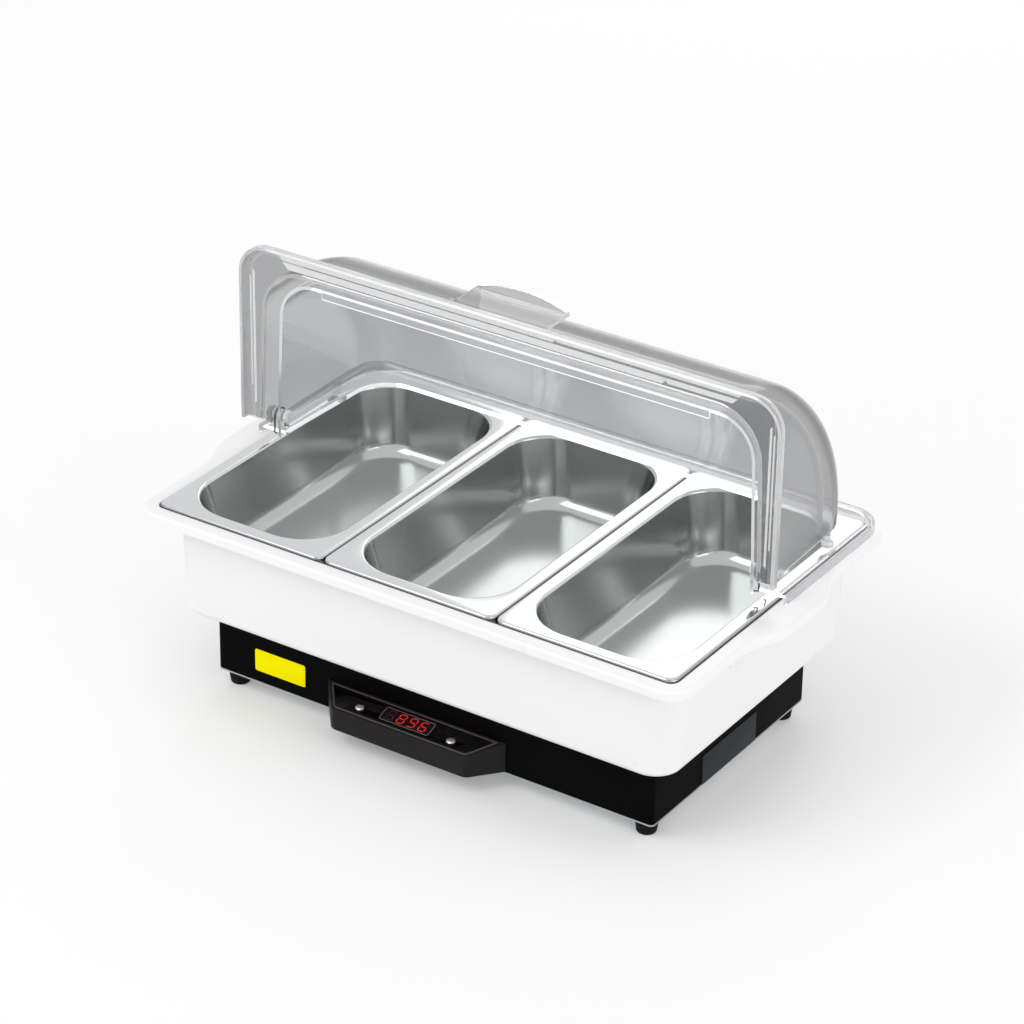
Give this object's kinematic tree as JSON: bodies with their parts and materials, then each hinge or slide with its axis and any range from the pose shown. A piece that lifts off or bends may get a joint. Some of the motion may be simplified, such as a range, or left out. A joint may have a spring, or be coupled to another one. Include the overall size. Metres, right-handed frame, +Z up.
{
  "type": "electric buffet warmer",
  "caption": "Electric buffet warmer: steel food pans side by side in a white water tub on a black heating base with a control box, under a clear roll-top cover.",
  "frame": {"origin": "centre of the overall footprint, on the plane the feet stand on", "axes": "+X to the right seen from the control box side, +Y to the back, +Z up; the hinge of the cover is parallel to X"},
  "size_m": [0.592, 0.355, 0.393],
  "materials": {
    "base_black": "black enamelled sheet, folded, with a low sheen",
    "zinc_sheet": "plain zinc-plated sheet",
    "screw_steel": "zinc-plated screws",
    "foot_rubber": "moulded black rubber",
    "plate_aluminium": "cast and milled",
    "element_sheath": "heat-darkened sheathed element",
    "circuit_board": "glass-fibre board with green mask",
    "component_black": "black component cases",
    "terminal_grey": "grey plastic",
    "lead_white": "white silicone insulation",
    "inlet_black": "black moulded inlet",
    "box_black": "satin black moulded plastic",
    "bezel_bronze": "thin brown-grey raised line",
    "panel_black": "glossy black panel",
    "button_chrome": "small domed metal buttons",
    "sticker_yellow": "plain yellow film, left blank",
    "label_grey": "plain grey plate, left blank",
    "tub_white": "glossy white, heat-resistant",
    "pan_steel": "satin pressed stainless",
    "cover_clear": "clear polycarbonate with a faint grey tint",
    "hinge_chrome": "bright pin heads",
    "hinge_clear": "clear moulded spacers and caps"
  },
  "bodies": {
    "heater_base": {"base_shell": "base_black", "bottom_plate": "zinc_sheet", "heat_shield": "zinc_sheet", "element_clamp_1": "zinc_sheet", "element_clamp_2": "zinc_sheet", "temperature_probe": "zinc_sheet", "inlet_pin_1": "zinc_sheet", "inlet_pin_2": "zinc_sheet", "inlet_pin_3": "zinc_sheet", "foot_screw_front_left": "screw_steel", "foot_screw_front_right": "screw_steel", "foot_screw_rear_left": "screw_steel", "foot_screw_rear_right": "screw_steel", "bottom_screw_front_left": "screw_steel", "bottom_screw_front_right": "screw_steel", "bottom_screw_rear_left": "screw_steel", "bottom_screw_rear_right": "screw_steel", "inlet_screw_left": "screw_steel", "inlet_screw_right": "screw_steel", "foot_front_left": "foot_rubber", "foot_front_right": "foot_rubber", "foot_rear_left": "foot_rubber", "foot_rear_right": "foot_rubber", "heating_plate": "plate_aluminium", "heating_element": "element_sheath", "power_board": "circuit_board", "control_board": "circuit_board", "relay": "component_black", "transformer": "component_black", "thermal_cutout": "component_black", "display_module": "component_black", "switch_left": "component_black", "switch_right": "component_black", "mains_lead": "component_black", "terminal_block": "terminal_grey", "ribbon_cable": "terminal_grey", "element_lead_front": "lead_white", "element_lead_rear": "lead_white", "power_inlet": "inlet_black", "control_box_shell": "box_black", "control_bezel": "bezel_bronze", "control_lens": "panel_black", "blank_sticker": "sticker_yellow", "blank_label": "label_grey"},
    "button_left": {"button_left": "button_chrome"},
    "button_right": {"button_right": "button_chrome"},
    "water_tub": {"water_tub": "tub_white"},
    "pan_left": {"pan_left": "pan_steel"},
    "pan_middle": {"pan_middle": "pan_steel"},
    "pan_right": {"pan_right": "pan_steel"},
    "rear_half": {"rear_cover": "cover_clear", "hinge_pin_left": "hinge_chrome", "hinge_pin_right": "hinge_chrome", "hinge_sleeve_left": "hinge_clear", "hinge_sleeve_right": "hinge_clear", "hinge_cap_left": "hinge_clear", "hinge_cap_right": "hinge_clear"},
    "front_half": {"front_cover": "cover_clear", "bumper_left": "foot_rubber", "bumper_right": "foot_rubber"}
  },
  "joints": [
    {"name": "tub_lift", "type": "slide", "parent": "heater_base", "child": "water_tub", "axis": [0, 0, 1], "range_m": [0, 0.15]},
    {"name": "pan_left_lift", "type": "slide", "parent": "water_tub", "child": "pan_left", "axis": [0, 0, 1], "range_m": [0, 0.12]},
    {"name": "pan_middle_lift", "type": "slide", "parent": "pan_left", "child": "pan_middle", "axis": [0, 0, 1], "range_m": [0, 0.12]},
    {"name": "pan_right_lift", "type": "slide", "parent": "pan_middle", "child": "pan_right", "axis": [0, 0, 1], "range_m": [0, 0.12]},
    {"name": "cover_lift", "type": "slide", "parent": "pan_right", "child": "rear_half", "axis": [0, 0, 1], "range_m": [0, 0.2]},
    {"name": "cover_roll", "type": "hinge", "parent": "rear_half", "child": "front_half", "pos_m": [0, 0, 0.211], "axis": [1, 0, 0], "range_deg": [0, 90]},
    {"name": "button_left_press", "type": "slide", "parent": "heater_base", "child": "button_left", "axis": [0, 0.3192, -0.9477], "range_m": [0, 0.0008], "stiffness_N_per_m": 800},
    {"name": "button_right_press", "type": "slide", "parent": "heater_base", "child": "button_right", "axis": [0, 0.3192, -0.9477], "range_m": [0, 0.0008], "stiffness_N_per_m": 800}
  ]
}
